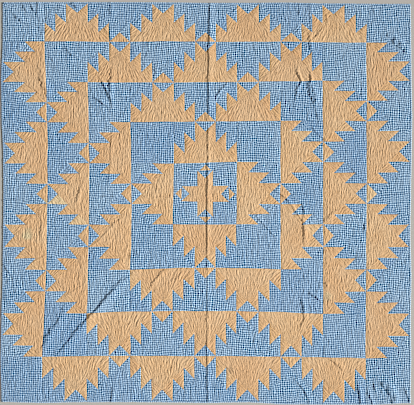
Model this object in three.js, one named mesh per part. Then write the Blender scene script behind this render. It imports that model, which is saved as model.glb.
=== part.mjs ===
// Patchwork quilt lying flat with its face up, in millimetres, +Z up and +Y towards its top edge.
// The patchwork is square rings of saw-toothed mountains round a centre block. It is counted in units,
// one unit being half the base of the smallest triangle, and each ring is four units deep.
import * as THREE from 'three';

// Driving sizes
const SEAM_HEIGHT = 3;
const PATCH_HEIGHT = 5.4;
const EDGE_HEIGHT = 3.4;
const BINDING_WIDTH = 8;
const BINDING_HEIGHT = 4.6;
const PIECE_GAP = 0.3;
const HALF_SPAN = 19;
const RING_DEPTH = 4;
const MOUNTAIN_BASE = 6;
const MOUNTAIN_PITCH = 8;
const CENTRE_REACH = 3;

// A fold's line runs through a lattice point that is this close to it.
const SNAP = 0.6;

// The seam lines of each ring, measured from the quilt's middle at a line's first end, middle and last end.
// North and south lines run from west to east, west and east lines from north to south.
const RING_LINES = [
  { reach: 0, north: [44, 44, 44], south: [44, 44, 44],
    west: [-5, -5, -5], east: [-5, -5, -5] },
  { reach: 3, north: [198, 201, 205], south: [-111, -111, -111],
    west: [-165, -168, -171], east: [154, 153, 151] },
  { reach: 7, north: [407, 409, 413], south: [-340, -330, -338],
    west: [-385, -380, -385], east: [376, 374, 375] },
  { reach: 11, north: [609, 608, 616], south: [-559, -549, -562],
    west: [-601, -593, -606], east: [586, 590, 589] },
  { reach: 15, north: [813, 814, 809], south: [-779, -777, -787],
    west: [-819, -804, -831], east: [810, 809, 804] },
  { reach: 19, north: [1005, 1001, 997], south: [-1001, -1004, -1007],
    west: [-1023, -1026, -1029], east: [1025, 1024, 1024] },
];

// How far the uneven outer edge stands outside the straight line between its corners.
const EDGE_WAVES = [
  { along: 0.0, north: 0, south: 0, west: 0, east: 0 },
  { along: 0.1, north: 2, south: 4, west: 0, east: 2 },
  { along: 0.2, north: 3, south: 0, west: 7, east: 4 },
  { along: 0.3, north: 3, south: -1, west: 4, east: 8 },
  { along: 0.4, north: 3, south: 0, west: -4, east: 5 },
  { along: 0.5, north: 1, south: 2, west: -6, east: 2 },
  { along: 0.6, north: 2, south: -2, west: -5, east: -1 },
  { along: 0.7, north: 4, south: 7, west: -3, east: 4 },
  { along: 0.8, north: 1, south: 8, west: 2, east: 1 },
  { along: 0.9, north: 0, south: 8, west: 6, east: 3 },
  { along: 1.0, north: 0, south: 0, west: 0, east: 0 },
];

// Main folds left in the cloth: crest points with their rise, and the half width of the ridge.
const FOLDS = [
  // Centre
  { half: 14, crest: [
    { x: 18, y: 1010, rise: 3.5 }, { x: 18, y: 898, rise: 5 }, { x: 12, y: 620, rise: 5 },
    { x: 10, y: 316, rise: 3 }, { x: 8, y: 43, rise: 4 }, { x: 5, y: -400, rise: 1 },
    { x: 4, y: -721, rise: 3 }, { x: 6, y: -1010, rise: 3.5 }] },
  // Left quarter
  { half: 14, crest: [
    { x: -523, y: 612, rise: 1.5 }, { x: -508, y: 569, rise: 4 }, { x: -492, y: 530, rise: 0 }] },
  // Right quarter, upper
  { half: 14, crest: [
    { x: 520, y: 885, rise: 0 }, { x: 529, y: 812, rise: 4 }, { x: 531, y: 750, rise: 0 }] },
  // Right quarter
  { half: 16, crest: [
    { x: 523, y: 668, rise: 0 }, { x: 530, y: 590, rise: 5 }, { x: 539, y: 488, rise: 4 },
    { x: 589, y: 310, rise: 0 }] },
  // Right quarter, middle
  { half: 14, crest: [
    { x: 491, y: 2, rise: 0 }, { x: 496, y: -90, rise: 3 }, { x: 493, y: -215, rise: 0 }] },
  // Right quarter, lower
  { half: 14, crest: [
    { x: 472, y: -447, rise: 0 }, { x: 492, y: -540, rise: 4 }, { x: 479, y: -630, rise: 0 }] },
  // Lower left, long
  { half: 16, crest: [
    { x: -771, y: -788, rise: 2 }, { x: -685, y: -684, rise: 4.5 }, { x: -600, y: -580, rise: 5 },
    { x: -538, y: -519, rise: 4.5 }, { x: -378, y: -358, rise: 0 }] },
  // Lower left, short
  { half: 16, crest: [
    { x: -817, y: -711, rise: 1 }, { x: -769, y: -632, rise: 3.5 }, { x: -722, y: -530, rise: 0 }] },
  // Upper left
  { half: 14, crest: [
    { x: -849, y: 605, rise: 0 }, { x: -829, y: 550, rise: 3 }, { x: -803, y: 496, rise: 0 }] },
  // Right of the centre
  { half: 12, crest: [
    { x: 228, y: -45, rise: 0 }, { x: 336, y: -160, rise: 3 }, { x: 385, y: -214, rise: 0 }] },
];

const BLUE_CHECK = 0x86a2bd;
const BLUE_BINDING = 0x9db4c8;

function mix(a, b, t) {
  return a + (b - a) * t;
}

// A quadratic through three values at -1, 0 and 1.
function bow([first, middle, last], s) {
  return middle + ((last - first) / 2) * s + ((first + last) / 2 - middle) * s * s;
}

function linesAt(reach) {
  const outer = Math.max(1, RING_LINES.findIndex((row) => row.reach >= reach));
  const a = RING_LINES[outer - 1];
  const b = RING_LINES[outer];
  const t = (reach - a.reach) / (b.reach - a.reach);
  const blend = (side) => a[side].map((value, i) => mix(value, b[side][i], t));
  return { north: blend('north'), south: blend('south'), west: blend('west'), east: blend('east') };
}

function edgeWave(side, s) {
  const step = ((s + 1) / 2) * (EDGE_WAVES.length - 1);
  const i = Math.min(Math.floor(step), EDGE_WAVES.length - 2);
  const t = step - i;
  return mix(EDGE_WAVES[i][side], EDGE_WAVES[i + 1][side], t * t * (3 - 2 * t));
}

// Which side of the quilt a pattern point faces, and where along that side it lies.
function sideOf(p, q) {
  const reach = Math.max(Math.abs(p), Math.abs(q));
  if (reach === 0) return { side: 'north', reach, s: 0 };
  if (Math.abs(q) >= Math.abs(p)) return { side: q > 0 ? 'north' : 'south', reach, s: p / reach };
  return { side: p > 0 ? 'east' : 'west', reach, s: -q / reach };
}

// The place in millimetres of the pattern point p units east and q units north of the centre. Seam lines
// run on straight past their ring's corners, so that the rings outside them line up with them.
function place(p, q) {
  const { side, reach, s } = sideOf(p, q);
  const level = side === 'north' || side === 'south';
  const row = linesAt(Math.abs(q))[q > 0 ? 'north' : 'south'];
  const column = linesAt(Math.abs(p))[p > 0 ? 'east' : 'west'];
  const lastRing = HALF_SPAN - RING_DEPTH;
  const wave = reach > lastRing ? edgeWave(side, s) * ((reach - lastRing) / RING_DEPTH) ** 2 : 0;
  const x = bow(column, level ? -Math.sign(q) : s);
  const y = bow(row, level ? s : Math.sign(p));
  return level ? [x, y + Math.sign(q) * wave] : [x + Math.sign(p) * wave, y];
}

// A pattern point as ring, lateral place from the ring's left end, and height above the mountains' bases.
function ringPoint(p, q) {
  const up = Math.abs(q) >= Math.abs(p);
  const reach = Math.max(Math.abs(p), Math.abs(q));
  const base = CENTRE_REACH + RING_DEPTH * Math.floor((reach - CENTRE_REACH) / RING_DEPTH);
  return { base, lateral: (up ? p : q) + base, height: reach - base, reach, up };
}

// True where a lattice point lies on a seam between patches.
function onSeam(p, q) {
  const { base, lateral, height, reach } = ringPoint(p, q);
  if (reach < CENTRE_REACH) return false;
  if (height === 0 || lateral === 0 || lateral === 2 * base) return true;
  if (lateral < 0 || lateral > 2 * base) return false;
  const step = lateral % MOUNTAIN_PITCH;
  if (step > MOUNTAIN_BASE) return height === 1;
  const t = Math.min(step, MOUNTAIN_BASE - step);
  return height >= t && height <= t + 2;
}

// The seam across a lattice cell: 1 rises with lateral and height, -1 falls, 0 is no seam.
function cellSeam(lateralCell, heightCell) {
  const half = MOUNTAIN_BASE / 2;
  const step = lateralCell % MOUNTAIN_PITCH;
  if (step >= MOUNTAIN_BASE) {
    const rising = step === MOUNTAIN_BASE ? 1 : -1;
    return [rising, -rising, 0, 0][heightCell];
  }
  const rising = step < half ? 1 : -1;
  const tooth = step < half ? step : MOUNTAIN_BASE - 1 - step;
  const above = heightCell - tooth;
  if (above === 0 || above === 2) return rising;
  return above === 1 ? -rising : 0;
}

// The same seam in the quilt's own axes, for the cell whose lower left lattice point is p, q.
function seamAcross(p, q) {
  const { base, lateral, height, reach, up } = ringPoint(p + 0.5, q + 0.5);
  if (reach < CENTRE_REACH || lateral < 0 || lateral > 2 * base) return 0;
  const turned = (up ? q : p) < 0 ? -1 : 1;
  return turned * cellSeam(Math.floor(lateral), Math.floor(height));
}

// The patchwork's upper face: lattice points, and a raised middle in each triangle beside a seam.
function patchworkFace() {
  const points = [];
  const triangles = [];
  const count = 2 * HALF_SPAN + 1;
  const id = (p, q) => (q + HALF_SPAN) * count + p + HALF_SPAN;
  for (let q = -HALF_SPAN; q <= HALF_SPAN; q += 1) {
    for (let p = -HALF_SPAN; p <= HALF_SPAN; p += 1) {
      const edge = Math.max(Math.abs(p), Math.abs(q)) === HALF_SPAN;
      const inner = onSeam(p, q) ? SEAM_HEIGHT : PATCH_HEIGHT;
      points.push([...place(p, q), edge ? EDGE_HEIGHT : inner]);
    }
  }
  const raised = (a, b, c) => {
    const centre = [0, 1].map((axis) => (points[a][axis] + points[b][axis] + points[c][axis]) / 3);
    const middle = points.push([...centre, PATCH_HEIGHT]) - 1;
    triangles.push([a, b, middle], [b, c, middle], [c, a, middle]);
  };
  for (let q = -HALF_SPAN; q < HALF_SPAN; q += 1) {
    for (let p = -HALF_SPAN; p < HALF_SPAN; p += 1) {
      const [sw, se, ne, nw] = [id(p, q), id(p + 1, q), id(p + 1, q + 1), id(p, q + 1)];
      const seam = seamAcross(p, q);
      if (seam > 0) {
        raised(sw, se, ne);
        raised(sw, ne, nw);
      } else if (seam < 0) {
        raised(sw, se, nw);
        raised(se, ne, nw);
      } else {
        triangles.push([sw, se, ne], [sw, ne, nw]);
      }
    }
  }
  return { points, triangles };
}

// Adds a point wherever the straight line from start to end crosses an edge of the face.
function splitAlong(face, start, end) {
  const length = Math.hypot(end[0] - start[0], end[1] - start[1]);
  const way = [(end[0] - start[0]) / length, (end[1] - start[1]) / length];
  const across = ([x, y]) => (x - start[0]) * way[1] - (y - start[1]) * way[0];
  const onward = ([x, y]) => (x - start[0]) * way[0] + (y - start[1]) * way[1];
  const added = new Map();
  const split = (i, j) => {
    const key = Math.min(i, j) + ':' + Math.max(i, j);
    if (added.has(key)) return added.get(key);
    const [a, b] = [face.points[Math.min(i, j)], face.points[Math.max(i, j)]];
    const [da, db] = [across(a), across(b)];
    let index = -1;
    if (da * db < 0 && Math.min(Math.abs(da), Math.abs(db)) > SNAP) {
      const point = a.map((value, axis) => mix(value, b[axis], da / (da - db)));
      if (onward(point) >= 0 && onward(point) <= length) index = face.points.push(point) - 1;
    }
    added.set(key, index);
    return index;
  };
  const triangles = [];
  for (const [a, b, c] of face.triangles) {
    const cuts = [split(a, b), split(b, c), split(c, a)];
    const count = cuts.filter((cut) => cut >= 0).length;
    if (count === 0) {
      triangles.push([a, b, c]);
      continue;
    }
    const first = count === 1 ? cuts.findIndex((cut) => cut >= 0) : cuts.findIndex((cut) => cut < 0);
    const corners = [a, b, c];
    const [u, v, w] = [0, 1, 2].map((step) => corners[(first + step) % 3]);
    if (count === 1) {
      triangles.push([u, cuts[first], w], [cuts[first], v, w]);
    } else {
      const [vw, wu] = [cuts[(first + 1) % 3], cuts[(first + 2) % 3]];
      triangles.push([u, v, vw], [u, vw, wu], [wu, vw, w]);
    }
  }
  face.triangles = triangles;
}

// Height that the folds add at a point, falling evenly from each crest to its foot.
function foldRise(x, y) {
  let highest = 0;
  for (const { half, crest } of FOLDS) {
    for (let i = 0; i + 1 < crest.length; i += 1) {
      const [a, b] = [crest[i], crest[i + 1]];
      const [dx, dy] = [b.x - a.x, b.y - a.y];
      const t = THREE.MathUtils.clamp(((x - a.x) * dx + (y - a.y) * dy) / (dx * dx + dy * dy), 0, 1);
      const away = Math.hypot(x - a.x - dx * t, y - a.y - dy * t);
      highest = Math.max(highest, mix(a.rise, b.rise, t) * Math.max(0, 1 - away / half));
    }
  }
  return highest;
}

function raiseFolds(face) {
  for (const { half, crest } of FOLDS) {
    for (let i = 0; i + 1 < crest.length; i += 1) {
      const [a, b] = [crest[i], crest[i + 1]];
      const length = Math.hypot(b.x - a.x, b.y - a.y);
      for (const offset of [-half, 0, half]) {
        const shift = [(offset * (b.y - a.y)) / length, (-offset * (b.x - a.x)) / length];
        splitAlong(face, [a.x + shift[0], a.y + shift[1]], [b.x + shift[0], b.y + shift[1]]);
      }
    }
  }
  for (const point of face.points) {
    point[2] += foldRise(point[0], point[1]);
  }
}

// Closes an upper face down to a flat underside at height 0.
function closeDown(face) {
  const edges = new Map();
  for (const [a, b, c] of face.triangles) {
    for (const [from, to] of [[a, b], [b, c], [c, a]]) {
      if (!edges.delete(to + ':' + from)) edges.set(from + ':' + to, [from, to]);
    }
  }
  const under = new Map();
  const below = (i) => {
    if (!under.has(i)) under.set(i, face.points.push([face.points[i][0], face.points[i][1], 0]) - 1);
    return under.get(i);
  };
  const middle = face.points.push([0, 0, 0]) - 1;
  for (const [from, to] of edges.values()) {
    const [lowFrom, lowTo] = [below(from), below(to)];
    face.triangles.push([from, lowFrom, to], [to, lowFrom, lowTo], [lowFrom, middle, lowTo]);
  }
  return face;
}

function solid(name, { points, triangles }, color) {
  const geometry = new THREE.BufferGeometry();
  geometry.setAttribute('position', new THREE.Float32BufferAttribute(points.flat(), 3));
  geometry.setIndex(triangles.flat());
  geometry.computeVertexNormals();
  const material = new THREE.MeshStandardMaterial({ color, roughness: 0.95, metalness: 0 });
  const mesh = new THREE.Mesh(geometry, material);
  mesh.name = name;
  return mesh;
}

function quiltBody() {
  const face = patchworkFace();
  raiseFolds(face);
  return solid('quilt_body', closeDown(face), BLUE_CHECK);
}

// The binding's rounded section: distance out from the quilt's edge, and height.
const BINDING_SECTION = [
  { out: 0, height: 0 },
  { out: 0, height: EDGE_HEIGHT },
  { out: BINDING_WIDTH * 0.3, height: BINDING_HEIGHT },
  { out: BINDING_WIDTH * 0.75, height: BINDING_HEIGHT * 0.9 },
  { out: BINDING_WIDTH, height: BINDING_HEIGHT * 0.5 },
  { out: BINDING_WIDTH, height: 0 },
];

// One strip of binding along a side. The top and bottom strips run on over the corners.
function bindingStrip(name, outward, longer) {
  const [ox, oy] = outward;
  const route = [];
  for (let step = -HALF_SPAN; step <= HALF_SPAN; step += 1) {
    const [x, y] = place(ox ? ox * HALF_SPAN : step, oy ? oy * HALF_SPAN : step);
    const end = Math.abs(step) === HALF_SPAN ? Math.sign(step) * longer : 0;
    route.push([x + (ox ? 0 : end), y + (oy ? 0 : end)]);
  }
  const sides = BINDING_SECTION.length;
  const points = route.flatMap(([x, y]) => BINDING_SECTION.map(({ out, height }) => {
    const away = PIECE_GAP + out;
    return [x + ox * away, y + oy * away, height];
  }));
  const triangles = [];
  for (let i = 0; i + 1 < route.length; i += 1) {
    for (let k = 0; k < sides; k += 1) {
      const [a, b] = [i * sides + k, i * sides + ((k + 1) % sides)];
      triangles.push([a, b, b + sides], [a, b + sides, a + sides]);
    }
  }
  const last = (route.length - 1) * sides;
  for (let k = 1; k + 1 < sides; k += 1) {
    triangles.push([0, k + 1, k], [last, last + k, last + k + 1]);
  }
  // The section turns the other way on the top and left strips, so their faces are reversed.
  const reversed = ox < 0 || oy > 0;
  const faces = reversed ? triangles.map(([a, b, c]) => [a, c, b]) : triangles;
  return solid(name, { points, triangles: faces }, BLUE_BINDING);
}

const quilt = new THREE.Group();
quilt.add(
  quiltBody(),
  bindingStrip('binding_top', [0, 1], PIECE_GAP + BINDING_WIDTH),
  bindingStrip('binding_bottom', [0, -1], PIECE_GAP + BINDING_WIDTH),
  bindingStrip('binding_left', [-1, 0], 0),
  bindingStrip('binding_right', [1, 0], 0),
);

// The origin is under the middle of the quilt's box.
const middle = new THREE.Box3().setFromObject(quilt).getCenter(new THREE.Vector3());
quilt.position.set(-middle.x, -middle.y, 0);

export default quilt;
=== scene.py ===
"""Patchwork quilt lying flat, face up, seen from straight above. Metres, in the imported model's frame."""
import math

import bpy
import numpy as np
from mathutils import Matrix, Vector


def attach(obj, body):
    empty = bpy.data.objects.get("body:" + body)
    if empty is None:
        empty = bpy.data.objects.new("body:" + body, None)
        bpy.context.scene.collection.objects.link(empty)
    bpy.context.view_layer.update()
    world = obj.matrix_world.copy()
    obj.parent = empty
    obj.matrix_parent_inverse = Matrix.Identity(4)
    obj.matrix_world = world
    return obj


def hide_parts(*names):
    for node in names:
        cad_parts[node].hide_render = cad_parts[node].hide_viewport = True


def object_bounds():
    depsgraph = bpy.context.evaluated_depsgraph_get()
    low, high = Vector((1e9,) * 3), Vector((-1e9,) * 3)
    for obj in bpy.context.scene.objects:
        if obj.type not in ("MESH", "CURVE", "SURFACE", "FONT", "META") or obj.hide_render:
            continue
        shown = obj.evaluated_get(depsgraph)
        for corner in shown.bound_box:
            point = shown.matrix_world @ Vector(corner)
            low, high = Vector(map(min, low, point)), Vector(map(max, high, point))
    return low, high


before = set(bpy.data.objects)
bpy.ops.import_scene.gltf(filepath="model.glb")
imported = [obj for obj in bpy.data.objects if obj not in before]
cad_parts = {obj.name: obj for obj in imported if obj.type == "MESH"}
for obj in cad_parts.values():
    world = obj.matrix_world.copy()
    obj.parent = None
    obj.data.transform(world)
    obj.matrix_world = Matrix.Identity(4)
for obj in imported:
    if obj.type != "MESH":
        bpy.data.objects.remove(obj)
cad_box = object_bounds()

MM = 0.001
SEED = 11
NOISE_CELLS = 128  # the noise repeats after so many bumps
NOISE_SHIFT = 300.5  # keeps the quilt clear of the noise's own middle

# Pattern counts, in units of half the smallest triangle's base
HALF_SPAN = 19
CENTRE_REACH = 3
RING_DEPTH = 4
RINGS = 4
BASE = 6
PITCH = 8
STAR_UNIT = 0.75  # size of the centre star's own unit
STAR_TIP = 3.75  # where the star's small outer triangles end, in its own units
FAN_TOP = 4.5  # height in a mountain that its rows of quilting fan out from
FAN_MEAN = 3.5
DRIFT_MARGIN = 0.6  # strip along the edges where the seams stop wandering
FAR = 9.0  # further than any seam
NUDGE = 1e-4  # moves a point off a seam, to one patch beside it
STEPS = 16  # mesh steps to a unit
SEAM_HIT = 0.25  # a mesh square within this share of a step is cut along the seam
UNIT = 53.9 * MM  # mean size of a unit
SIDES_OUT = dict(north=(0, 1), south=(0, -1), east=(1, 0), west=(-1, 0))
BINDINGS = dict(north="binding_top", south="binding_bottom", west="binding_left", east="binding_right")

# Cloth
SEAM_HEIGHT = 2.8 * MM
PUFF = 1.8 * MM  # how far a patch's middle stands above the seams round it
PUFF_REACH = 6 * MM
SAME_CLOTH = 0.1  # share of that ditch left where both patches are of one cloth
EDGE_HEIGHT = 3.8 * MM
EDGE_REACH = 12 * MM  # strip where the cloth settles to the edge's height
LEAST_HEIGHT = 1.2 * MM
FLOOR_GAP = 0.2 * MM  # what lies lowest stays this far above the floor
BACK_GAP = 0.4 * MM  # the back's edge stays this far below the top's lowest
BACK_TURN = 6 * MM  # strip along the edges where the back turns up
CHECK_PITCH = 11 * MM
CHECK_TURN = 4  # most turn of a patch's check, in degrees
PALE_REACH = 110 * MM  # no pale patch reaches further than this from its named place
STAIN_CORE = 0.2  # share of a stain's radius at full strength
PIECE_GAP = 0.3 * MM

# Rows of quilting and the gathers between them
GATHER = 1.25 * MM  # half height of the gathers
GATHER_PITCH = 11.8 * MM
GATHER_MEAN = 0.85  # mean strength, before each patch's own
PATCH_LEAST = 0.75  # a patch's own strength is at least this
PATCH_MORE = 0.5  # and up to this much more
OPEN_REACH = 4 * MM  # distance from a seam where the gathers have their full height
ROW_SHARE = 0.5  # share of even rows in the gathers
ROW_MEAN = 0.7
FINE_SHARE = 0.75  # share of fine, broken gathers
FINE_GATHER = 5.6 * MM
FINE_STRETCH = 0.22  # a fine gather's width for its length
STITCH_PITCH = 6 * MM
PUCKER = 0.5 * MM
PUCKER_PITCH = 9 * MM
PUCKER_STRETCH = 0.6
CHECK_PUCKER = 1.8  # the check puckers this much more than the tan

# Binding
BINDING_WIDTH = 8 * MM
BINDING_HEIGHT = 4.4 * MM
BINDING_FOOT = 1.2 * MM  # height of its outer foot
BINDING_STEPS = 9
BINDING_FULLNESS = 0.7  # below 1 its section is fuller than a half circle
BINDING_END = 0.8  # the strips' ends are this much lower
PUCKER_MOST = 1.1

# Folds
TROUGH_REACH = 4 * MM
TROUGH_SHARE = 0.3  # depth of the trough in a crease for the fold's rise
FOLD_MARGIN = 10 * MM
CREASE_SHADE_REACH = 2.9 * MM  # half width of the line of painted shade in a crease
CREASE_SHADE_PLACE = 0.4  # where on the steep side that line lies
# mean strength of the painted shade in the creases, broken up along each fold
CREASE_SHADE_MEAN = 0.85
DEEP_RISE = 4 * MM  # a fold this high has the darkest painted shade in its crease
SHARP_STEEP = 9 * MM  # past this width of the steep side the painted shade in the crease is fainter

# Short wrinkles across the edges: their number, and the range of reach, width and rise in millimetres
WRINKLES = 200
WRINKLE_LEAST = (22, 3.5, 0.5)
WRINKLE_MOST = (50, 6.5, 1.5)
WRINKLE_TURN = 20  # spread of their directions, in degrees
WRINKLE_BAND = 0.85  # they start at this share of the way out from the middle

# Unevenness as smooth noises: half size, distance between bumps and seed
ROW_WANDER = [dict(size=5 * MM, apart=55 * MM, seed=1), dict(size=3 * MM, apart=22 * MM, seed=2)]
FOLD_WANDER = [dict(size=1.2 * MM, apart=75 * MM, seed=5), dict(size=0.4 * MM, apart=30 * MM, seed=6)]
FOLD_UNEVEN = [dict(size=0.3, apart=48 * MM, seed=13)]
CREASE_SHADE_BREAKS = [dict(size=0.3, apart=40 * MM, seed=14)]
GATHER_UNEVEN = [dict(size=0.35, apart=70 * MM, seed=7)]
ROW_UNEVEN = [dict(size=0.7, apart=26 * MM, seed=8)]
SWELL = [dict(size=0.8 * MM, apart=130 * MM, seed=10), dict(size=0.6 * MM, apart=32 * MM, seed=11)]
SEAM_DRIFT_X = [dict(size=2 * MM, apart=85 * MM, seed=21)]
SEAM_DRIFT_Y = [dict(size=2 * MM, apart=85 * MM, seed=22)]
CHECK_DRIFT_X = [dict(size=2.6 * MM, apart=45 * MM, seed=43), dict(size=2.6 * MM, apart=15 * MM, seed=47)]
CHECK_DRIFT_Y = [dict(size=2.6 * MM, apart=45 * MM, seed=44), dict(size=2.6 * MM, apart=15 * MM, seed=48)]
STAIN_RAGGED = [dict(size=0.35, apart=20 * MM, seed=31)]
BINDING_PUCKER = [dict(size=0.14, apart=16 * MM, seed=61), dict(size=0.08, apart=7 * MM, seed=62)]

# Colours as screen values from 0 to 255
CHECK = dict(deep=(57, 89, 120), middle=(118, 157, 191), pale=(208, 232, 249))
FADED_CHECK = dict(deep=(96, 126, 158), middle=(150, 180, 208), pale=(216, 232, 246))
CHECK_FADED = (176, 192, 206)
CHECK_TINT = (92, 128, 176)
TAN_DARK = (208, 167, 121)
TAN_LIGHT = (228, 189, 144)
TAN_WARM = (226, 168, 100)
TAN_TINT = (212, 164, 120)
TAN_FADED = (222, 198, 164)
TAN_PALE = (227, 206, 164)
STAIN = (204, 191, 152)
BACK_DARK = (206, 204, 198)
BACK_LIGHT = (222, 220, 214)
FLOOR = (184, 179, 171)

# Surfaces
CREASE_SHADE_COLOUR = (0.16, 0.2, 0.3, 1.0)  # colour that the darkest painted shade in the creases multiplies the cloth by
# strength of the painted shade in the creases on each cloth
CHECK_CREASE_SHADE = 0.38
TAN_CREASE_SHADE = 0.2
CHECK_RELIEF = 1.0
TAN_RELIEF = 1.9
CHECK_TINTED = 0.2  # most tint of a patch
TAN_TINTED = 0.35
TAN_WARMED = 0.15  # warmer colour of the small triangles
ROUGHNESS = 0.92
FLOOR_ROUGHNESS = 0.9
SPECULAR = 0.18
SHEEN = 0.05
SHEEN_ROUGHNESS = 0.6

# Grains in the cloth: scale, detail and stretch of a noise, with its relief or the share that it makes
THREADS = dict(scale=900.0, detail=2.0, stretch=(1, 1, 1), height=0.4 * MM, strength=0.35)
BACK_THREADS = dict(scale=700.0, detail=2.0, stretch=(1, 1, 1), height=0.5 * MM, strength=0.4)
CRUMPLES = dict(scale=150.0, detail=3.0, stretch=(1.0, 0.55, 1.0), height=1.0 * MM, strength=0.8)
STREAKS = dict(scale=1.8, detail=2.0, stretch=(1.0, 0.13, 1.0), height=2.8 * MM, strength=1.0)
CHECK_FADING = dict(scale=5.0, detail=4.0, stretch=(1, 1, 1), low=0.35, high=0.7, most=0.2)
TAN_FADING = dict(scale=7.0, detail=4.0, stretch=(1, 1, 1), low=0.35, high=0.7, most=0.26)
TAN_SLUBS = dict(scale=240.0, detail=4.0, stretch=(1.0, 0.25, 1.0), low=0.3, high=0.7, most=1.0)
BACK_MOTTLE = dict(scale=60.0, detail=5.0, stretch=(1, 1, 1), low=0.35, high=0.65, most=1.0)
THREAD_EDGE = 0.5  # cosine where a dyed stripe of the check ends

# Camera and light
FRAME_WIDTH = 2.0948  # what the picture's width covers on the quilt
FRAME_OFFSET = (0.003, 0.0)
CAMERA_HEIGHT = 4.5
SENSOR = 36.0
SHARPEN = 0.065  # share of sharpening in the finished picture
SUN_ENERGY = 4.2
SUN_SIZE = 7  # degrees
SUN_TILT = 62
SUN_TURN = -8
SOFT_ENERGY = 8.0
SOFT_SIZE = 1.6
SOFT_PLACE = (0.2, -0.55, 2.0)
SKY = (0.94, 0.97, 1.0, 1.0)
SKY_STRENGTH = 0.25
FLOOR_SIZE = 200
FLOOR_DROP = 0.5 * MM

# Seam lines of each ring in millimetres from the middle: at a line's first end, middle and last end.
# North and south lines run from west to east, west and east lines from north to south.
RING_LINES = [
    dict(reach=0, north=(44, 44, 44), south=(44, 44, 44), west=(-5, -5, -5), east=(-5, -5, -5)),
    dict(reach=3, north=(198, 201, 205), south=(-111, -111, -111),
         west=(-165, -168, -171), east=(154, 153, 151)),
    dict(reach=7, north=(407, 409, 413), south=(-340, -330, -338),
         west=(-385, -380, -385), east=(376, 374, 375)),
    dict(reach=11, north=(609, 608, 616), south=(-559, -549, -562),
         west=(-601, -593, -606), east=(586, 590, 589)),
    dict(reach=15, north=(813, 814, 809), south=(-779, -777, -787),
         west=(-819, -804, -831), east=(810, 809, 804)),
    dict(reach=19, north=(1005, 1001, 997), south=(-1001, -1004, -1007),
         west=(-1023, -1026, -1029), east=(1025, 1024, 1024)),
]

# How far the uneven outer edge stands outside the straight line between its corners, in millimetres,
# at even steps from a side's first end to its last.
EDGE_WAVES = dict(
    north=(0, 2, 3, 3, 3, 1, 2, 4, 1, 0, 0),
    south=(0, 4, 0, -1, 0, 2, -2, 7, 8, 8, 0),
    west=(0, 0, 7, 4, -4, -6, -5, -3, 2, 6, 0),
    east=(0, 2, 4, 8, 5, 2, -1, 4, 1, 3, 0),
)

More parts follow.
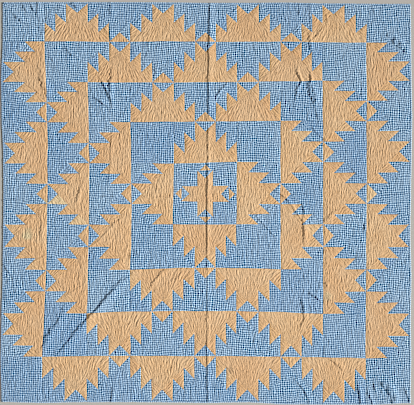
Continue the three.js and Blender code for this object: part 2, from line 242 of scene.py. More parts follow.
# Folds and wrinkles in millimetres. A crease runs through the points (x, y, rise). Seen with its first
# point at the top, the cloth on its right climbs over the steep width and falls over the gentle width.
FOLDS = [
    # Fold down the middle
    dict(steep=6, gentle=32, crease=[(10, 1012, 3.5), (11, 898, 4.5), (7, 772, 4.5), (6, 620, 5),
         (7, 500, 4), (5, 440, 1.5)]),
    dict(steep=5, gentle=8, crease=[(-6, 830, 0), (-5, 711, 2), (-5, 600, 0)]),
    dict(steep=6, gentle=12, crease=[(118, 606, 0.5), (96, 597, 3), (70, 572, 4), (50, 543, 4),
         (38, 512, 0)]),
    dict(steep=6, gentle=22, crease=[(5, 440, 1), (2, 316, 3.2), (0, 190, 4), (-1, 43, 4.4),
         (-1, -109, 4), (-1, -225, 3), (0, -316, 1.5)]),
    dict(steep=6, gentle=22, crease=[(0, -316, 1.5), (0, -493, 2), (-1, -580, 3), (-1, -721, 3),
         (0, -898, 3.5), (1, -1015, 3.5)]),
    # Left eighth
    dict(steep=6, gentle=22, crease=[(-858, 1004, 3), (-860, 965, 3), (-858, 925, 0)]),
    dict(steep=14, gentle=30, crease=[(-856, 720, 0), (-848, 665, 2.4), (-836, 605, 4),
         (-818, 560, 3.6), (-808, 520, 0)]),
    dict(steep=4, gentle=10, crease=[(-905, 600, 0), (-860, 560, 2.5), (-826, 528, 0)]),
    # Left quarter
    dict(steep=6, gentle=26, crease=[(-492, 1002, 2.5), (-488, 960, 3.5), (-478, 925, 0)]),
    dict(steep=5, gentle=22, crease=[(-494, 890, 0), (-492, 850, 3.5), (-488, 805, 2), (-486, 790, 0)]),
    dict(steep=10, gentle=22, crease=[(-478, 715, 0), (-486, 660, 3), (-494, 600, 5), (-492, 540, 5),
         (-488, 480, 1.5), (-486, 455, 0)]),
    dict(steep=7, gentle=14, crease=[(-545, 628, 1), (-524, 595, 4.5), (-502, 545, 4), (-494, 520, 0)]),
    dict(steep=7, gentle=16, crease=[(-655, 545, 0), (-600, 532, 3.5), (-560, 522, 4), (-528, 500, 5),
         (-498, 478, 0)]),
    dict(steep=5, gentle=10, crease=[(-452, 655, 0), (-446, 610, 2.5), (-446, 575, 0)]),
    dict(steep=5, gentle=10, crease=[(-382, 605, 0), (-386, 570, 2.5), (-394, 535, 0)]),
    dict(steep=6, gentle=18, crease=[(-478, 405, 0), (-484, 330, 2), (-492, 200, 2), (-498, 110, 1.5),
         (-500, 80, 0)]),
    dict(steep=12, gentle=12, crease=[(-640, 95, 0), (-650, 50, 3.6), (-662, 15, 3.2), (-676, -20, 0)]),
    # Upper left
    dict(steep=6, gentle=12, crease=[(-722, 806, 0), (-708, 772, 3.5), (-690, 748, 3), (-640, 718, 0)]),
    dict(steep=5, gentle=12, crease=[(-812, 746, 0), (-782, 718, 2.5), (-738, 700, 0)]),
    dict(steep=12, gentle=12, crease=[(-264, 695, 0), (-266, 655, 3), (-274, 620, 0)]),
    # Right quarter
    dict(steep=7, gentle=26, crease=[(512, 1006, 2), (518, 960, 2.5), (524, 890, 2), (516, 840, 3.5),
         (520, 790, 4), (528, 740, 2.5), (533, 695, 0)]),
    dict(steep=5, gentle=14, crease=[(604, 905, 0), (570, 866, 2.5), (536, 828, 2), (528, 812, 0)]),
    dict(steep=7, gentle=12, crease=[(444, 700, 0), (456, 655, 4.5), (474, 612, 5), (456, 578, 4),
         (446, 525, 2), (446, 505, 0)]),
    dict(steep=8, gentle=14, crease=[(512, 675, 0), (524, 625, 5), (514, 590, 5), (520, 550, 5),
         (534, 508, 3), (545, 470, 2), (560, 425, 2.5), (576, 380, 0)]),
    dict(steep=10, gentle=26, crease=[(528, 610, 1), (534, 570, 5), (545, 520, 5), (556, 480, 0)]),
    dict(steep=5, gentle=16, crease=[(520, 395, 0), (545, 360, 2.5), (570, 335, 3), (602, 308, 2.5),
         (606, 295, 0)]),
    dict(steep=4, gentle=8, crease=[(621, 505, 0), (624, 480, 2.5), (630, 440, 1.2), (630, 390, 1.6),
         (630, 335, 0)]),
    dict(steep=6, gentle=18, crease=[(474, 10, 0), (484, -20, 2.8), (490, -44, 3.4), (482, -72, 0)]),
    dict(steep=7, gentle=30, crease=[(482, -60, 0), (486, -100, 3.5), (490, -140, 4.5), (490, -180, 3),
         (494, -240, 0)]),
    dict(steep=7, gentle=26, crease=[(474, -462, 0), (480, -505, 4.5), (487, -552, 5), (489, -585, 3),
         (476, -622, 1.5), (470, -650, 0)]),
    dict(steep=8, gentle=14, crease=[(506, -445, 0), (532, -470, 4.5), (558, -488, 5), (580, -508, 0)]),
    dict(steep=5, gentle=12, crease=[(590, -482, 0), (620, -492, 2.5), (660, -514, 0)]),
    dict(steep=8, gentle=10, crease=[(598, -395, 0), (604, -418, 3.5), (610, -440, 0)]),
    dict(steep=5, gentle=9, crease=[(512, -505, 0), (524, -530, 2.5), (530, -560, 0)]),
    dict(steep=5, gentle=9, crease=[(540, -515, 0), (552, -540, 2.2), (556, -570, 0)]),
    # Lower left
    dict(steep=9, gentle=48, crease=[(-385, -360, 1.5), (-450, -408, 4), (-513, -481, 6),
         (-602, -582, 6.5), (-656, -638, 6), (-772, -780, 1.5)]),
    dict(steep=13, gentle=48, crease=[(-722, -515, 0), (-735, -550, 3), (-762, -607, 4.5),
         (-800, -658, 4.5), (-826, -712, 3), (-872, -772, 1.5), (-892, -815, 0)]),
    dict(steep=6, gentle=24, crease=[(-162, -300, 0), (-225, -345, 3), (-268, -395, 3), (-302, -440, 0)]),
    dict(steep=5, gentle=16, crease=[(-118, -340, 0), (-150, -378, 2.2), (-186, -430, 0)]),
    # Left side
    dict(steep=5, gentle=12, crease=[(-388, -42, 0), (-470, -105, 2), (-550, -192, 1.8), (-622, -242, 0)]),
    dict(steep=5, gentle=14, crease=[(-600, -392, 0), (-655, -432, 2.4), (-732, -478, 0)]),
    dict(steep=5, gentle=10, crease=[(-758, -222, 0), (-830, -270, 2.2), (-902, -312, 1.5),
         (-930, -318, 0)]),
    dict(steep=10, gentle=24, crease=[(-838, -90, 0), (-842, -140, 2.4), (-848, -196, 0)]),
    dict(steep=6, gentle=14, crease=[(-1026, -322, 2), (-1006, -348, 3), (-984, -378, 0)]),
    # Right of the centre
    dict(steep=4, gentle=7, crease=[(75, 42, 0), (120, -4, 2), (162, -55, 0)]),
    dict(steep=4, gentle=8, crease=[(225, -42, 0), (259, -82, 2.5), (333, -163, 2.5), (382, -212, 0)]),
    dict(steep=6, gentle=12, crease=[(290, 92, 0), (345, 56, 2.6), (400, 16, 2.6), (440, -38, 2.4),
         (478, -92, 1.5), (486, -104, 0)]),
    dict(steep=5, gentle=10, crease=[(330, 60, 0), (370, 44, 2.5), (410, 8, 2), (428, -8, 0)]),
    # Fold across the middle
    dict(steep=4, gentle=8, crease=[(-160, 26, 1), (-220, 30, 2.5), (-278, 28, 0)]),
    dict(steep=4, gentle=8, crease=[(225, 30, 0), (190, 33, 1.8), (156, 35, 0)]),
    dict(steep=4, gentle=8, crease=[(-925, 19, 0), (-975, 17, 4), (-1028, 16, 4)]),
    dict(steep=4, gentle=8, crease=[(-437, 33, 0), (-510, 33, 3.2), (-589, 32, 0)]),
    dict(steep=4, gentle=8, crease=[(588, 45, 0), (500, 44, 3), (393, 43, 0)]),
    dict(steep=4, gentle=8, crease=[(1030, 45, 2), (960, 45, 3), (885, 44, 0)]),
    # Right side
    dict(steep=8, gentle=22, crease=[(668, -22, 0), (625, -58, 2.5), (592, -92, 2), (584, -110, 0)]),
    dict(steep=7, gentle=12, crease=[(803, -70, 0), (798, -125, 4), (806, -185, 0)]),
    dict(steep=5, gentle=10, crease=[(816, -72, 0), (820, -105, 3.5), (820, -130, 0)]),
    dict(steep=5, gentle=12, crease=[(700, 205, 0), (752, 146, 2.2), (802, 98, 0)]),
    # Lower right
    dict(steep=14, gentle=20, crease=[(262, -862, 0), (200, -850, 3.5), (150, -838, 3.5), (100, -815, 0)]),
    dict(steep=8, gentle=26, crease=[(596, -786, 0), (640, -808, 4), (670, -834, 3.5), (690, -850, 0)]),
    # Bottom edge
    dict(steep=7, gentle=24, crease=[(-474, -900, 0), (-480, -950, 3.5), (-487, -1005, 3.5)]),
    dict(steep=7, gentle=20, crease=[(438, -895, 0), (470, -925, 3), (500, -970, 4), (512, -1005, 2.5)]),
    dict(steep=8, gentle=22, crease=[(756, -895, 0), (766, -955, 4), (772, -1010, 3.2)]),
    dict(steep=8, gentle=14, crease=[(800, -930, 0), (818, -976, 4), (832, -1012, 3.6)]),
    dict(steep=6, gentle=12, crease=[(834, -890, 0), (848, -940, 3.2), (856, -980, 0)]),
    dict(steep=34, gentle=22, crease=[(876, -922, 0), (905, -950, 6), (925, -985, 6), (930, -1008, 3)]),
    dict(steep=7, gentle=12, crease=[(985, -915, 0), (1004, -958, 3.4), (1020, -1002, 2.8)]),
    # Top edge
    dict(steep=26, gentle=14, crease=[(918, 846, 0), (935, 822, 4), (965, 795, 6.5), (990, 772, 5),
         (1015, 755, 0)]),
    dict(steep=5, gentle=14, crease=[(830, 1000, 1), (842, 965, 2.5), (848, 935, 0)]),
    dict(steep=6, gentle=10, crease=[(462, 1002, 2), (466, 960, 2.5), (466, 935, 0)]),
    dict(steep=5, gentle=10, crease=[(168, 1004, 1), (135, 970, 2), (98, 940, 0)]),
    dict(steep=9, gentle=22, crease=[(-1004, 968, 0), (-952, 924, 3.6), (-896, 884, 0)]),
    dict(steep=6, gentle=12, crease=[(-938, 1004, 1.5), (-922, 978, 3.5), (-902, 950, 0)]),
    dict(steep=6, gentle=12, crease=[(-895, 1004, 2), (-882, 980, 3.5), (-868, 955, 0)]),
    dict(steep=12, gentle=12, crease=[(-690, 1003, 1), (-672, 992, 4), (-650, 975, 0)]),
]

# Old faded marks on the cloth in millimetres: place, radius and strength.
STAINS = [
    dict(x=-908, y=-164, radius=34, strength=0.75),
    dict(x=-812, y=10, radius=14, strength=0.5),
    dict(x=612, y=-470, radius=24, strength=0.45),
]

# Tan patches of a paler cloth: a place in each, in millimetres, and how pale it is.
PALE_PATCHES = [
    dict(x=-756, y=3, strength=0.75),
    dict(x=-665, y=-114, strength=0.4),
    dict(x=504, y=342, strength=0.3),
    dict(x=550, y=-144, strength=0.3),
    dict(x=823, y=62, strength=0.4),
    dict(x=823, y=34, strength=0.4),
]


def mix(a, b, t):
    return a + (b - a) * t


def smooth(t):
    t = np.clip(t, 0, 1)
    return t * t * (3 - 2 * t)


def pairs(a, b):
    """Every pair from two rows of numbers, as two flat rows."""
    return (grid.ravel() for grid in np.meshgrid(a, b, indexing="ij"))


def noise(x, y, scale, seed):
    """Smooth noise from -1 to 1, with bumps about scale apart."""
    table = np.random.default_rng(SEED * 1000 + seed).uniform(-1, 1, (NOISE_CELLS, NOISE_CELLS))
    u, v = x / scale + NOISE_SHIFT, y / scale + NOISE_SHIFT
    i, j = np.floor(u).astype(int), np.floor(v).astype(int)
    s, t = smooth(u - i), smooth(v - j)

    def value(a, b):
        return table[a % NOISE_CELLS, b % NOISE_CELLS]

    low = mix(value(i, j), value(i + 1, j), s)
    high = mix(value(i, j + 1), value(i + 1, j + 1), s)
    return mix(low, high, t)


def unevenness(x, y, rows):
    """Sum of the noises in a table."""
    return sum(row["size"] * noise(x, y, row["apart"], row["seed"]) for row in rows)


def chance(key, seed):
    """A number from 0 to 1 that is fixed for each key, by the usual sine hash."""
    return np.modf(np.abs(np.sin(key * 12.9898 + seed * 78.233 + SEED)) * 43758.5453)[0]


# Layout of the pattern on the cloth

def bowed(side, reach, s):
    """Place in millimetres of a bowed seam line, from -1 to 1 along it."""
    reaches = [row["reach"] for row in RING_LINES]
    ends = ([row[side][k] for row in RING_LINES] for k in range(3))
    first, middle, last = (np.interp(reach, reaches, column) for column in ends)
    return middle + (last - first) / 2 * s + ((first + last) / 2 - middle) * s * s


def edge_wave(side, s):
    """How far the outer edge stands out in millimetres, from -1 to 1 along it."""
    waves = np.array(EDGE_WAVES[side], float)
    step = np.clip((s + 1) / 2, 0, 1) * (len(waves) - 1)
    i = np.minimum(np.floor(step).astype(int), len(waves) - 2)
    return mix(waves[i], waves[i + 1], smooth(step - i))


def reach_of(p, q):
    """Which square ring round the middle each pattern point lies on, in units."""
    return np.maximum(np.abs(p), np.abs(q))


def lie(p, q):
    """x and y in metres of pattern points p units east and q units north, before centring."""
    reach = reach_of(p, q)
    upright = np.abs(q) >= np.abs(p)
    s = np.where(upright, p, -q) / np.maximum(reach, 1e-9)
    waving = np.clip((reach - HALF_SPAN + RING_DEPTH) / RING_DEPTH, 0, 1) ** 2
    level_end = np.where(upright, s, np.sign(p))
    upright_end = np.where(upright, -np.sign(q), s)
    x = np.where(
        p > 0,
        bowed("east", np.abs(p), upright_end) + np.where(upright, 0, edge_wave("east", s) * waving),
        bowed("west", np.abs(p), upright_end) - np.where(upright, 0, edge_wave("west", s) * waving),
    )
    y = np.where(
        q > 0,
        bowed("north", np.abs(q), level_end) + np.where(upright, edge_wave("north", s) * waving, 0),
        bowed("south", np.abs(q), level_end) - np.where(upright, edge_wave("south", s) * waving, 0),
    )
    return x * MM, y * MM


def own_middle():
    """The middle of the pattern's box, which the model has at its origin."""
    ring = np.arange(-HALF_SPAN, HALF_SPAN + 1).astype(float)
    edge = np.full_like(ring, HALF_SPAN)
    x, y = lie(np.concatenate([ring, ring, edge, -edge]), np.concatenate([edge, -edge, ring, ring]))
    return (x.min() + x.max()) / 2, (y.min() + y.max()) / 2


MIDDLE = own_middle()


def place(p, q):
    """x and y in metres of pattern points, with the quilt's middle at the origin."""
    x, y = lie(p, q)
    return x - MIDDLE[0], y - MIDDLE[1]


def away_from(row, x, y):
    """Metres from each point to the place in a table's row."""
    return np.hypot(x - row["x"] * MM + MIDDLE[0], y - row["y"] * MM + MIDDLE[1])


# Patches

GROUND, BODY, TOOTH, GAP, HALF, PEAK, CORNER, STAR, STAR_GROUND = range(9)
TAN_KINDS = (BODY, TOOTH, GAP, STAR)


def ring_place(p, q):
    """Ring, side, lateral place from the ring's first end and height above the mountains' bases."""
    reach = reach_of(p, q)
    ring = np.clip(np.floor((reach - CENTRE_REACH) / RING_DEPTH) + 1, 0, RINGS).astype(int)
    base = RING_DEPTH * ring - 1
    upright = np.abs(q) >= np.abs(p)
    side = np.where(upright, np.where(q > 0, 0, 2), np.where(p > 0, 1, 3))
    return ring, side, base, np.where(upright, p, q) + base, reach - base


def slope_place(lateral):
    """Mountain number, place in from its nearer end (below 0 in the gap beside it) and which half."""
    mountain = np.floor(lateral / PITCH).astype(int)
    step = lateral - PITCH * mountain
    gap = step > BASE
    inward = np.where(gap, -np.minimum(step - BASE, PITCH - step), np.minimum(step, BASE - step))
    right = np.where(gap, step < BASE + 1, step > BASE / 2)
    return mountain, step, inward, right


def star_place(p, q):
    """Greater and lesser distance from the star's middle lines, in the star's own units."""
    a, b = np.abs(p) / STAR_UNIT, np.abs(q) / STAR_UNIT
    return np.maximum(a, b), np.minimum(a, b)


def patch_at(p, q):
    """Kind, ring, side, mountain, flank and key of the patch at each pattern point."""
    ring, side, base, lateral, height = ring_place(p, q)
    mountain, step, inward, right = slope_place(lateral)
    tooth = np.clip(np.floor(inward), -1, 2).astype(int)
    owner = mountain + ((step > BASE) & ~right)
    kind = np.select(
        [
            (lateral < 0) | (lateral > 2 * base),
            (inward >= 0) & (height < inward),
            (inward >= 0) & (height < 2 * tooth + 2 - inward),
            (inward < 0) & (height < -inward),
            inward >= 2,
            height < inward + 2,
        ],
        [CORNER, BODY, TOOTH, GAP, PEAK, HALF],
        GROUND,
    )
    reach, minor = star_place(p, q)
    star = (minor < 1) & ((reach < 2 + minor) | ((reach > 3) & (reach < STAR_TIP - minor)))
    kind = np.where(ring == 0, np.where(star, STAR, STAR_GROUND), kind)
    valley = np.where(step <= BASE / 2, mountain - 1, mountain)
    owner = np.where(kind == GROUND, valley, owner) + 1
    toothed = (kind == TOOTH) | (kind == HALF)
    detail = np.where(toothed, (tooth + 1) * 2 + right, 0)
    corner = (p > 0) * 2 + (q > 0)
    arm = np.where(reach < 1, 4, np.where(reach > 3, 5, 0) + side)
    owner = np.select([kind == CORNER, kind == STAR, kind == STAR_GROUND], [corner, arm, corner], owner)
    turn = np.where(kind == CORNER, 0, side)
    key = (((ring * 4 + turn) * 16 + owner) * 16 + kind) * 16 + detail
    return dict(kind=kind, ring=ring, side=side, mountain=mountain, right=right, key=key)


def seam_distances(p, q):
    """Metres from pattern points to the nearest seam of two cloths and to the nearest in one cloth."""
    ring, _, base, lateral, height = ring_place(p, q)
    _, _, t, _ = slope_place(lateral)
    root = math.sqrt(0.5)
    column = np.floor(np.clip(t, 0, BASE / 2 - NUDGE))
    near = np.clip(np.round(t), 0, 2)
    far = np.full_like(p, FAR)
    in_corner = (lateral < 0) | (lateral > 2 * base)
    between = np.minimum.reduce([
        np.where((height >= near) & (height <= near + 2), np.abs(t - near), far),
        np.where(t >= 0, np.abs(height - 2 * column - 2 + t) * root, far),
        np.where(t <= 0, np.abs(height + t) * root, far),
    ])
    ring_seams = np.minimum.reduce([
        height, RING_DEPTH - height, np.abs(lateral), np.abs(2 * base - lateral),
    ])
    between = np.minimum(np.where(in_corner, far, between), ring_seams)
    within = np.minimum(
        np.where(t >= 0, np.abs(height - t) * root, far),
        np.where(t <= 2, np.abs(height - t - 2) * root, far),
    )
    within = np.where(in_corner, far, within)
    reach, minor = star_place(p, q)
    arm = minor <= 1
    star_between = STAR_UNIT * np.minimum.reduce([
        np.where(reach <= 3, np.abs(minor - 1), far),
        np.where(arm, np.abs(reach - 2 - minor) * root, far),
        np.where(arm, np.abs(reach - 3), far),
        np.where(arm & (reach > 3), np.abs(reach - STAR_TIP + minor) * root, far),
        np.abs(4 - reach),
    ])
    star_within = STAR_UNIT * np.where(arm, np.abs(reach - 1), far)
    between = np.where(ring == 0, star_between, between)
    within = np.where(ring == 0, star_within, within)
    return between * UNIT, within * UNIT


def slant_at(p, q):
    """1 where a slanting seam through a pattern point rises to the right, -1 where it falls, else 0."""
    def on(gap):
        return np.abs(gap) < SEAM_HIT / STEPS

    ring, side, base, lateral, height = ring_place(p, q)
    _, _, t, right = slope_place(lateral)
    rising = np.where(right, -1, 1) * np.where((side == 2) | (side == 3), -1, 1)
    climbing = (on(height - t) & (t > 0)) | (on(height - t - 2) & (t < 2))
    falling = (on(height - 2 * np.floor(t) - 2 + t) & (t > 0)) | (on(height + t) & (t < 0))
    slant = rising * (climbing * 1 - falling * 1)
    slant = np.where((lateral < 0) | (lateral > 2 * base), 0, slant)
    reach, minor = star_place(p, q)
    notch = on((reach - 2 - minor) * STAR_UNIT) & (minor < 1)
    tip = on((reach - STAR_TIP + minor) * STAR_UNIT) & (reach > 3)
    return np.where(ring == 0, np.sign(p * q) * (notch * 1 - tip * 1), slant)


def quilting(p, q, x, y, patch):
    """Places across and along the rows of quilting, in metres: fans, slants in the teeth, else upright."""
    side = patch["side"]
    base = RING_DEPTH * patch["ring"] - 1
    upright = (side == 0) | (side == 2)
    outward = np.select([side == 0, side == 1, side == 2], [q, p, -q], -p)
    lateral = np.where(upright, p, q) + base - PITCH * patch["mountain"] - BASE / 2
    fall = FAN_TOP - (outward - base)
    fan = (patch["kind"] == BODY) & upright
    across = np.where(fan, np.arctan2(lateral, fall) * FAN_MEAN * UNIT, x)
    along = np.where(fan, np.hypot(lateral, fall) * UNIT, y)
    lean = np.where(patch["right"], 1, -1) * np.where((side == 2) | (side == 3), -1, 1)
    small = (patch["kind"] == TOOTH) | (patch["kind"] == HALF)
    across = np.where(small, (x + lean * y) * math.sqrt(0.5), across)
    along = np.where(small, (y - lean * x) * math.sqrt(0.5), along)
    shift = GATHER_PITCH * chance(patch["key"], 3)
    return across + unevenness(x, y, ROW_WANDER) + shift, along


def fold_shape(x, y):
    """What the folds add to the cloth's height, and how much painted shade each point gets in a crease,
    from 0 to 1.
    """
    height, painted_crease_shade = np.zeros_like(x), np.zeros_like(x)
    wander = unevenness(x, y, FOLD_WANDER)
    uneven = 1 + unevenness(x, y, FOLD_UNEVEN)
    broken = CREASE_SHADE_MEAN + unevenness(x, y, CREASE_SHADE_BREAKS)
    for fold in FOLDS:
        steep, gentle = fold["steep"] * MM, fold["gentle"] * MM
        line = np.array(fold["crease"]) * MM - (*MIDDLE, 0)
        margin = 2 * (steep + gentle + FOLD_MARGIN)
        near = np.flatnonzero(
            (np.abs(x - line[:, 0].mean()) < np.ptp(line[:, 0]) / 2 + margin)
            & (np.abs(y - line[:, 1].mean()) < np.ptp(line[:, 1]) / 2 + margin)
        )
        best = np.zeros(len(near))
        for (ax, ay, rise_a), (bx, by, rise_b) in zip(line, line[1:]):
            dx, dy = bx - ax, by - ay
            off_x, off_y = x[near] - ax, y[near] - ay
            t = np.clip((off_x * dx + off_y * dy) / (dx * dx + dy * dy), 0, 1)
            px, py = off_x - dx * t, off_y - dy * t
            offset = np.hypot(px, py) * np.sign(py * dx - px * dy) + wander[near]
            rise = mix(rise_a, rise_b, t) * uneven[near]
            climb = smooth(offset / steep) * (1 - smooth((offset - steep) / gentle))
            trough = TROUGH_SHARE * np.exp(-(offset / TROUGH_REACH) ** 2)
            added = rise * (climb - trough)
            best = np.where(np.abs(added) > np.abs(best), added, best)
            # Painted shade: a dark line along the steep side of each crease, stronger for higher folds
            shade = np.exp(-((offset - CREASE_SHADE_PLACE * steep) / CREASE_SHADE_REACH) ** 2)
            shade *= np.clip(rise / DEEP_RISE, 0, 1) * broken[near] * min(1, SHARP_STEEP / steep)
            painted_crease_shade[near] = np.maximum(painted_crease_shade[near], shade)
        height[near] += best
    return height, painted_crease_shade


def wrinkle_shape(x, y):
    """What the short soft wrinkles across the quilt's edges add to the height."""
    height = np.zeros_like(x)
    draw = np.random.default_rng(SEED)
    for number in range(WRINKLES):
        run, back, sign = draw.uniform((-1, WRINKLE_BAND, -1), (1, 1, 1))
        out = math.copysign(back, sign)
        level = number % 3 > 0
        middle_x, middle_y = (run, out) if level else (out, run)
        turn = math.radians(draw.normal(0 if level else 90, WRINKLE_TURN))
        reach, width, rise = draw.uniform(WRINKLE_LEAST, WRINKLE_MOST) * MM
        off_x, off_y = x - middle_x * HALF_SPAN * UNIT, y - middle_y * HALF_SPAN * UNIT
        near = np.flatnonzero((np.abs(off_x) < reach) & (np.abs(off_y) < reach))
        off_x, off_y = off_x[near], off_y[near]
        along = off_y * math.cos(turn) - off_x * math.sin(turn)
        across = off_x * math.cos(turn) + off_y * math.sin(turn)
        height[near] += rise * np.exp(-(across / width) ** 2) * (1 - smooth(np.abs(along) / reach))
    return height


def cloth_shape(p, q, x, y):
    """Height of the cloth at each point, and the strength of the painted shade in a crease there, from 0
    to 1.
    """
    patch = patch_at(p + NUDGE, q + 0.7 * NUDGE)
    between, within = seam_distances(p, q)
    across, along = quilting(p, q, x, y, patch)
    open_cloth = smooth(between / OPEN_REACH)
    strength = GATHER_MEAN + unevenness(x, y, GATHER_UNEVEN)
    strength *= PATCH_LEAST + PATCH_MORE * chance(patch["key"], 4)
    rows = ROW_SHARE * np.cos(2 * math.pi * across / GATHER_PITCH)
    rows *= ROW_MEAN + unevenness(across, along, ROW_UNEVEN)
    slow = along * FINE_STRETCH
    fine = noise(across, slow, FINE_GATHER, 12) - noise(across + FINE_GATHER, slow, FINE_GATHER, 12)
    rows += FINE_SHARE * fine
    pucker = noise(x, y * PUCKER_STRETCH, PUCKER_PITCH, 9)
    pucker *= np.where(np.isin(patch["kind"], TAN_KINDS), 1.0, CHECK_PUCKER)
    ditch = np.maximum(np.exp(-between / PUFF_REACH), SAME_CLOTH * np.exp(-within / PUFF_REACH))
    height = SEAM_HEIGHT + PUFF * (1 - ditch) + unevenness(x, y, SWELL)
    height += open_cloth * strength * (GATHER * rows + PUCKER * pucker)
    rim = np.clip((HALF_SPAN - reach_of(p, q)) * UNIT / EDGE_REACH, 0, 1)
    # crease holds the strength of the painted shade along the creases
    fold, crease = fold_shape(x, y)
    height = mix(EDGE_HEIGHT, height, smooth(rim)) + fold + wrinkle_shape(x, y)
    return np.maximum(height, LEAST_HEIGHT), crease


# Meshes

def new_object(name, mesh):
    piece = bpy.data.objects.new(name, mesh)
    bpy.context.collection.objects.link(piece)
    return piece


def mesh_of(name, points, faces):
    """A smooth mesh from points and four-column faces, where -1 in the last column makes a triangle."""
    used = np.unique(faces[faces >= 0])
    index = np.full(len(points), -1)
    index[used] = np.arange(len(used))
    corners = faces >= 0
    loops = index[faces[corners]]
    total = corners.sum(1)
    mesh = bpy.data.meshes.new(name)
    mesh.vertices.add(len(used))
    mesh.vertices.foreach_set("co", points[used].astype(np.float32).ravel())
    mesh.loops.add(len(loops))
    mesh.loops.foreach_set("vertex_index", loops.astype(np.int32))
    mesh.polygons.add(len(faces))
    mesh.polygons.foreach_set("loop_start", (np.cumsum(total) - total).astype(np.int32))
    mesh.polygons.foreach_set("loop_total", total.astype(np.int32))
    mesh.polygons.foreach_set("use_smooth", np.ones(len(faces), bool))
    mesh.update(calc_edges=True)
    return mesh, used, corners


def add_map(mesh, name, places):
    layer = mesh.uv_layers.new(name=name)
    layer.uv.foreach_set("vector", places.astype(np.float32).ravel())


def add_numbers(mesh, name, domain, values):
    mesh.attributes.new(name, "FLOAT", domain).data.foreach_set("value", values.astype(np.float32))


def quilt_mesh():
    """Points, faces and patches of the whole patchwork. Squares on a slanting seam are cut along it."""
    count = 2 * HALF_SPAN * STEPS
    grid = np.arange(count + 1) / STEPS - HALF_SPAN
    p, q = pairs(grid, grid)
    x, y = place(p, q)
    inside = smooth((HALF_SPAN - reach_of(p, q)) / DRIFT_MARGIN)
    x = x + unevenness(x, y, SEAM_DRIFT_X) * inside
    y = y + unevenness(x, y, SEAM_DRIFT_Y) * inside
    z, crease = cloth_shape(p, q, x, y)

    i, j = pairs(np.arange(count), np.arange(count))
    corner = i * (count + 1) + j
    sw, se, ne, nw = corner, corner + count + 1, corner + count + 2, corner + 1
    mid_p, mid_q = (i + 0.5) / STEPS - HALF_SPAN, (j + 0.5) / STEPS - HALF_SPAN
    slant = slant_at(mid_p, mid_q)
    third = 1 / (6 * STEPS)
    none = np.full(count * count, -1)

    def part(mask, corners, shift_p, shift_q):
        faces = np.stack([c[mask] for c in corners], 1)
        return faces, mid_p[mask] + shift_p, mid_q[mask] + shift_q

    parts = [
        part(slant == 0, (sw, se, ne, nw), 0, 0),
        part(slant > 0, (sw, se, ne, none), third, -third),
        part(slant > 0, (sw, ne, nw, none), -third, third),
        part(slant < 0, (sw, se, nw, none), -third, -third),
        part(slant < 0, (se, ne, nw, none), third, third),
    ]
    faces, face_p, face_q = (np.concatenate(rows) for rows in zip(*parts))
    return dict(
        points=np.stack([x, y, z], 1), pattern=np.stack([p, q], 1), crease=crease,
        faces=faces, patch=patch_at(face_p, face_q),
    )


def stain_at(x, y):
    """How strong the stains are at each point, from 0 to 1."""
    mark = np.zeros_like(x)
    ragged = 1 + unevenness(x, y, STAIN_RAGGED)
    for spot in STAINS:
        away = away_from(spot, x, y) * ragged / (spot["radius"] * MM)
        mark = np.maximum(mark, spot["strength"] * (1 - smooth(away - STAIN_CORE)))
    return mark


def pale_at(whole):
    """How pale each face's cloth is, from the patches named in the table."""
    tan = np.flatnonzero(np.isin(whole["patch"]["kind"], TAN_KINDS))
    key = whole["patch"]["key"]
    middle = whole["points"][whole["faces"][tan, :3], :2].mean(1)
    pale = np.zeros(len(key))
    for spot in PALE_PATCHES:
        away = away_from(spot, middle[:, 0], middle[:, 1])
        same = key[tan] == key[tan[np.argmin(away)]]
        pale[tan[same & (away < PALE_REACH)]] = spot["strength"]
    return pale


def grain_map(x, y, patch):
    """Check coordinates in radians, turned and shifted for each patch as it was cut."""
    key = patch["key"]
    turn = math.radians(CHECK_TURN) * (chance(key, 42) - 0.5) * 2
    x, y = x + unevenness(x, y, CHECK_DRIFT_X), y + unevenness(x, y, CHECK_DRIFT_Y)
    cos, sin = np.cos(turn), np.sin(turn)
    turns = 2 * math.pi / CHECK_PITCH
    u = (cos * x + sin * y) * turns + 2 * math.pi * chance(key, 45)
    v = (cos * y - sin * x) * turns + 2 * math.pi * chance(key, 46)
    return np.stack([u, v], -1)


def patch_piece(name, whole, chosen, material):
    """One piece of patchwork: the chosen faces, with the maps and numbers that its cloth needs."""
    faces, points = whole["faces"][chosen], whole["points"]
    mesh, used, corners = mesh_of(name, points, faces)
    patch = {field: values[chosen] for field, values in whole["patch"].items()}
    corner_patch = {field: np.repeat(values, corners.sum(1)) for field, values in patch.items()}
    x, y = points[faces[corners], :2].T
    p, q = whole["pattern"][faces[corners]].T
    add_map(mesh, "grain", grain_map(x, y, corner_patch))
    across, along = quilting(p, q, x, y, corner_patch)
    add_map(mesh, "rows", np.stack([across / GATHER_PITCH, along / STITCH_PITCH], 1))
    low, high = np.array(cad_box[0])[:2], np.array(cad_box[1])[:2]
    add_map(mesh, "OFBake", (np.stack([x, y], 1) - low) / (high - low))
    # Strength of the painted shade along the creases, read by the cloths' shaders
    add_numbers(mesh, "crease", "POINT", whole["crease"][used])
    add_numbers(mesh, "stain", "POINT", stain_at(points[used, 0], points[used, 1]))
    add_numbers(mesh, "tint", "FACE", chance(patch["key"], 51))
    add_numbers(mesh, "pale", "FACE", whole["pale"][chosen])
    add_numbers(mesh, "small", "FACE", np.isin(patch["kind"], (TOOTH, GAP)) * 1.0)
    mesh.materials.append(material)
    piece = new_object(name, mesh)
    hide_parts("quilt_body")
    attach(piece, "root")
    return piece


# Materials

